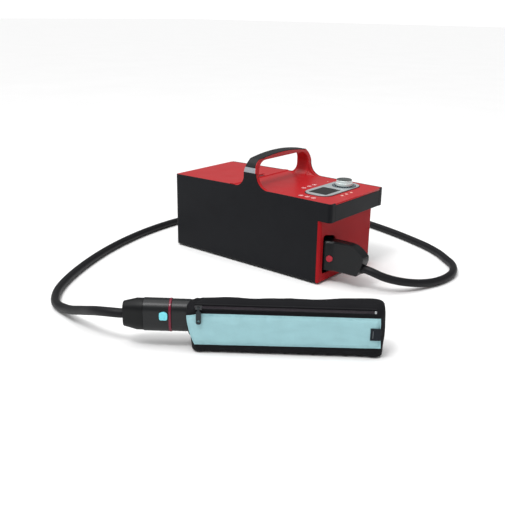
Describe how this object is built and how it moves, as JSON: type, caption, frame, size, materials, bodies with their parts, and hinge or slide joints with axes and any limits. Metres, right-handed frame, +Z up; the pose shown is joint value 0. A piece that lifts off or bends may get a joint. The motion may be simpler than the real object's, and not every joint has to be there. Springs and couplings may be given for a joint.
{
  "type": "hot cold therapy machine",
  "caption": "Portable hot and cold therapy unit with ice box, carry handle, dial console, insulated hose, quick connector and a zipped wrap.",
  "frame": {"origin": "under the hand opening, 3.5 mm in front of the middle of the case's length, on the surface that the feet stand on", "axes": "+X to the front of the unit with the hose port, +Y to its left side, +Z up"},
  "size_m": [0.7739, 0.887, 0.2355],
  "materials": {
    "black_shell": "satin moulded",
    "dark_inner": "moulded",
    "red_gloss": "gloss moulded",
    "red_deep": "gloss moulded",
    "grip": "soft touch",
    "band_grey": "satin",
    "foot_rubber": "matt",
    "steel": "bright",
    "tub_white": "moulded foam and liner",
    "clear_tube": "clear soft tube",
    "pump_grey": "moulded",
    "board_green": "solder mask",
    "lens_black": "smoked window",
    "silver": "satin silver paint",
    "dial_blue": "satin",
    "knob_white": "pearl",
    "key_red": "satin with pale marks",
    "lamp": "translucent",
    "black_gloss": "satin",
    "button_red": "gloss",
    "hose_black": "foam sleeve",
    "charcoal": "satin",
    "cyan": "gloss",
    "ring_red": "gloss",
    "cloth_black": "knitted cover",
    "cloth_blue": "woven"
  },
  "bodies": {
    "unit": {"base_pan": "dark_inner", "foot_strips": "foot_rubber", "base_screws": "steel", "side_shell_near": "black_shell", "side_shell_far": "black_shell", "back_panel": "black_shell", "front_panel": "red_deep", "brow_front": "black_shell", "top_deck": "red_gloss", "handle_grip": "grip", "handle_band_near": "band_grey", "handle_band_far": "band_grey", "hinge_pin": "steel", "ice_tub": "tub_white", "outlet_filter": "pump_grey", "water_pump": "pump_grey", "air_pump": "pump_grey", "valve_block": "pump_grey", "suction_tube": "clear_tube", "water_tubes": "clear_tube", "air_tube": "clear_tube", "control_board": "board_green", "screen_module": "pump_grey", "screen_lens": "lens_black", "console_plate": "silver", "dial_ring": "dial_blue", "encoder_body": "pump_grey", "lamp_windows": "lamp", "power_inlet": "black_gloss", "port_housing": "black_gloss", "port_nipples": "steel", "plug_shell": "black_gloss", "hose_collar": "black_gloss", "hose": "hose_black", "connector_boot": "black_gloss", "connector_shell": "charcoal", "connector_ring": "ring_red", "wrap_coupler": "black_gloss", "wrap_sleeve": "cloth_black", "wrap_panel": "cloth_blue", "zip_chain": "charcoal", "side_tag": "cloth_black"},
    "lid": {"ice_lid": "red_gloss", "lid_gasket": "foot_rubber"},
    "latch": {"lid_latch": "red_deep"},
    "dial_press": {"knob_shaft": "steel"},
    "dial": {"select_knob": "knob_white"},
    "rocker": {"power_rocker": "black_gloss"},
    "plug_release": {"plug_button": "button_red"},
    "connector_release": {"connector_button": "cyan"},
    "slider": {"zip_slider": "steel"},
    "pull": {"zip_pull": "charcoal"},
    "key_body_1": {"key_1": "key_red"},
    "key_body_2": {"key_2": "key_red"},
    "key_body_3": {"key_3": "key_red"},
    "key_body_4": {"key_4": "key_red"},
    "key_body_5": {"key_5": "key_red"},
    "key_body_6": {"key_6": "key_red"}
  },
  "joints": [
    {"name": "lid_hinge", "type": "hinge", "parent": "unit", "child": "lid", "pos_m": [-0.207, 0, 0.1589], "axis": [0, -1, 0], "range_deg": [0, 95]},
    {"name": "latch_press", "type": "slide", "parent": "unit", "child": "latch", "axis": [0, 0, -1], "range_m": [0, 0.0015], "stiffness_N_per_m": 600, "springref_m": -0.001},
    {"name": "dial_push", "type": "slide", "parent": "unit", "child": "dial_press", "axis": [0, 0, -1], "range_m": [0, 0.0008], "stiffness_N_per_m": 1200, "springref_m": -0.0012},
    {"name": "dial_turn", "type": "hinge", "parent": "dial_press", "child": "dial", "pos_m": [0.14, 0.048, 0.175], "axis": [0, 0, 1], "continuous": true},
    {"name": "power_rock", "type": "hinge", "parent": "unit", "child": "rocker", "pos_m": [-0.2055, 0.065, 0.044], "axis": [0, 1, 0], "range_deg": [0, 16]},
    {"name": "plug_release_press", "type": "slide", "parent": "unit", "child": "plug_release", "axis": [0, 1, 0], "range_m": [0, 0.0015], "stiffness_N_per_m": 600, "springref_m": -0.001},
    {"name": "connector_release_press", "type": "slide", "parent": "unit", "child": "connector_release", "axis": [-0.6018, 0.7986, 0], "range_m": [0, 0.0015], "stiffness_N_per_m": 600, "springref_m": -0.001},
    {"name": "zip_slide", "type": "slide", "parent": "unit", "child": "slider", "axis": [0.7986, 0.6018, 0], "range_m": [0, 0.263]},
    {"name": "pull_swing", "type": "hinge", "parent": "slider", "child": "pull", "pos_m": [0.21396, -0.47275, 0.08], "axis": [-0.7986, -0.6018, 0], "range_deg": [0, 150]},
    {"name": "key_press_1", "type": "slide", "parent": "unit", "child": "key_body_1", "axis": [0, 0, -1], "range_m": [0, 0.0008], "stiffness_N_per_m": 500, "springref_m": -0.001},
    {"name": "key_press_2", "type": "slide", "parent": "unit", "child": "key_body_2", "axis": [0, 0, -1], "range_m": [0, 0.0008], "stiffness_N_per_m": 500, "springref_m": -0.001},
    {"name": "key_press_3", "type": "slide", "parent": "unit", "child": "key_body_3", "axis": [0, 0, -1], "range_m": [0, 0.0008], "stiffness_N_per_m": 500, "springref_m": -0.001},
    {"name": "key_press_4", "type": "slide", "parent": "unit", "child": "key_body_4", "axis": [0, 0, -1], "range_m": [0, 0.0008], "stiffness_N_per_m": 500, "springref_m": -0.001},
    {"name": "key_press_5", "type": "slide", "parent": "unit", "child": "key_body_5", "axis": [0, 0, -1], "range_m": [0, 0.0008], "stiffness_N_per_m": 500, "springref_m": -0.001},
    {"name": "key_press_6", "type": "slide", "parent": "unit", "child": "key_body_6", "axis": [0, 0, -1], "range_m": [0, 0.0008], "stiffness_N_per_m": 500, "springref_m": -0.001}
  ]
}
